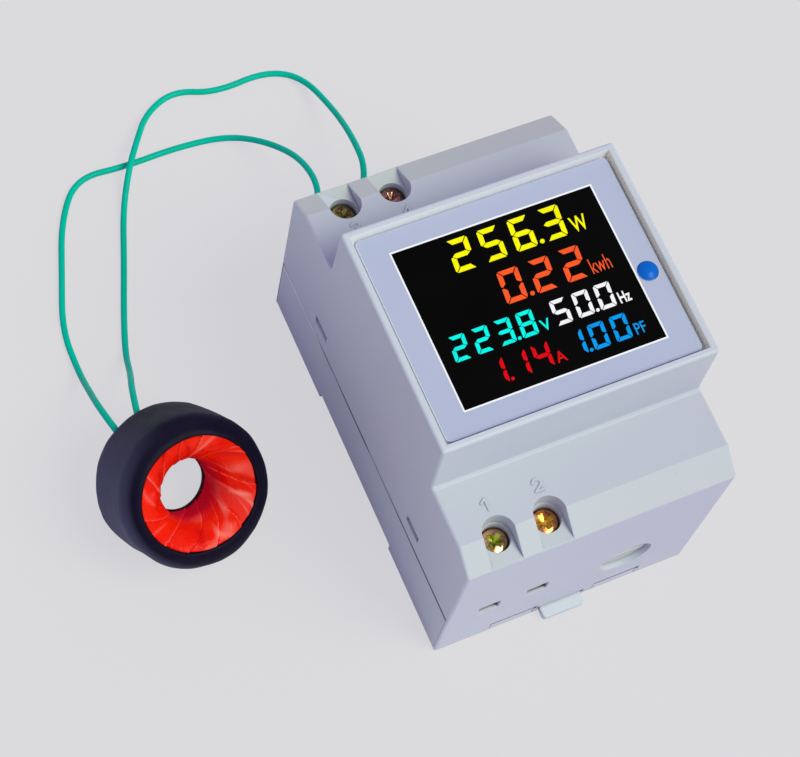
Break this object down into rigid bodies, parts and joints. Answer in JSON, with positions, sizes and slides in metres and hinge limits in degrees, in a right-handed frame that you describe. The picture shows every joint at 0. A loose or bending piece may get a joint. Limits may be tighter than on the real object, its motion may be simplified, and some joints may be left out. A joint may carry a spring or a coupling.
{
  "type": "din rail energy meter",
  "caption": "Rail-mounted energy meter with a lit multi-value display, a reset button, screw terminals and a wired current-transformer ring.",
  "frame": {"origin": "middle of the rail seat on the back, on the rail's centre line", "axes": "+X across the width, along the rail; +Y along the length toward terminals 3 and 4; +Z out of the display face. The meter lies on its back, 2.6 mm below the origin, with the transformer ring beside it."},
  "size_m": [0.1189, 0.1512, 0.0714],
  "materials": {
    "case_white": "satin light grey-white moulding",
    "clip_white": "satin moulding",
    "plate_lavender": "printed sheet, satin",
    "window_black": "polished dark lens",
    "lcd_glass": "dark segment glass",
    "tray_white": "reflective white",
    "guide_clear": "clear acrylic",
    "pin_metal": "tinned",
    "board_green": "solder mask",
    "chip_black": "moulded epoxy",
    "connector_black": "moulded",
    "button_blue": "polished dome",
    "stem_black": "moulded",
    "capacitor_yellow": "moulded box",
    "can_sleeve": "sleeved can",
    "varistor_blue": "dipped",
    "screw_zinc": "yellow passivated zinc",
    "cage_steel": "zinc plated",
    "contact_brass": "tin-flashed brass",
    "carrier_grey": "moulded",
    "screw_steel": "plated",
    "lead_green": "green insulation",
    "bare_copper": "bare copper",
    "core_iron": "tape-wound iron",
    "winding_copper": "enamelled copper",
    "tape_red": "glossy wrapped tape",
    "sleeve_black": "shrunk sleeve",
    "plug_white": "moulding"
  },
  "bodies": {
    "meter": {"front_housing": "case_white", "rear_base": "case_white", "face_plate": "plate_lavender", "display_window": "window_black", "lcd_panel": "lcd_glass", "backlight_tray": "tray_white", "light_guide": "guide_clear", "lcd_pins": "pin_metal", "display_board": "board_green", "display_board_screws": "screw_steel", "display_chip": "chip_black", "switch_body": "chip_black", "riser_socket": "connector_black", "riser_board": "board_green", "riser_header": "connector_black", "main_board": "board_green", "main_board_screws": "screw_steel", "film_capacitor": "capacitor_yellow", "filter_capacitor": "can_sleeve", "metering_chip": "chip_black", "varistor": "varistor_blue", "hole_plug": "plug_white", "terminal_carrier_a": "carrier_grey", "terminal_carrier_b": "carrier_grey", "ct_core": "core_iron", "ct_winding": "winding_copper", "ct_tape": "tape_red", "ct_sleeve": "sleeve_black", "ct_lead_a": "lead_green", "ct_lead_b": "lead_green", "bare_end_a": "bare_copper", "bare_end_b": "bare_copper", "contact_1": "contact_brass", "contact_2": "contact_brass", "contact_3": "contact_brass", "contact_4": "contact_brass"},
    "button": {"reset_button": "button_blue", "switch_stem": "stem_black"},
    "clip": {"din_clip": "clip_white"},
    "screw_1": {"terminal_screw_1": "screw_zinc"},
    "cage_1": {"clamp_cage_1": "cage_steel"},
    "screw_2": {"terminal_screw_2": "screw_zinc"},
    "cage_2": {"clamp_cage_2": "cage_steel"},
    "screw_3": {"terminal_screw_3": "screw_zinc"},
    "cage_3": {"clamp_cage_3": "cage_steel"},
    "screw_4": {"terminal_screw_4": "screw_zinc"},
    "cage_4": {"clamp_cage_4": "cage_steel"}
  },
  "joints": [
    {"name": "reset_press", "type": "slide", "parent": "meter", "child": "button", "axis": [0, 0, -1], "range_m": [0, 0.0005], "stiffness_N_per_m": 1500},
    {"name": "clip_slide", "type": "slide", "parent": "meter", "child": "clip", "axis": [0, -1, 0], "range_m": [0, 0.003]},
    {"name": "screw_1_turn", "type": "hinge", "parent": "meter", "child": "screw_1", "pos_m": [-0.02165, -0.0389, 0.047], "axis": [0, 0, -1], "range_deg": [0, 2161]},
    {"name": "cage_1_rise", "type": "slide", "parent": "meter", "child": "cage_1", "axis": [0, 0, 1], "range_m": [0, 0.003]},
    {"name": "screw_2_turn", "type": "hinge", "parent": "meter", "child": "screw_2", "pos_m": [-0.01025, -0.0389, 0.047], "axis": [0, 0, -1], "range_deg": [0, 2161]},
    {"name": "cage_2_rise", "type": "slide", "parent": "meter", "child": "cage_2", "axis": [0, 0, 1], "range_m": [0, 0.003]},
    {"name": "screw_3_turn", "type": "hinge", "parent": "meter", "child": "screw_3", "pos_m": [-0.02165, 0.0389, 0.047], "axis": [0, 0, -1], "range_deg": [-1441, 0]},
    {"name": "cage_3_rise", "type": "slide", "parent": "meter", "child": "cage_3", "axis": [0, 0, 1], "range_m": [-0.002, 0]},
    {"name": "screw_4_turn", "type": "hinge", "parent": "meter", "child": "screw_4", "pos_m": [-0.01025, 0.0389, 0.047], "axis": [0, 0, -1], "range_deg": [-1441, 0]},
    {"name": "cage_4_rise", "type": "slide", "parent": "meter", "child": "cage_4", "axis": [0, 0, 1], "range_m": [-0.002, 0]}
  ],
  "couplings": [
    {"joint": "screw_1_turn", "follows": "cage_1_rise", "rad_per_m": 12566},
    {"joint": "screw_2_turn", "follows": "cage_2_rise", "rad_per_m": 12566},
    {"joint": "screw_3_turn", "follows": "cage_3_rise", "rad_per_m": 12566},
    {"joint": "screw_4_turn", "follows": "cage_4_rise", "rad_per_m": 12566}
  ]
}
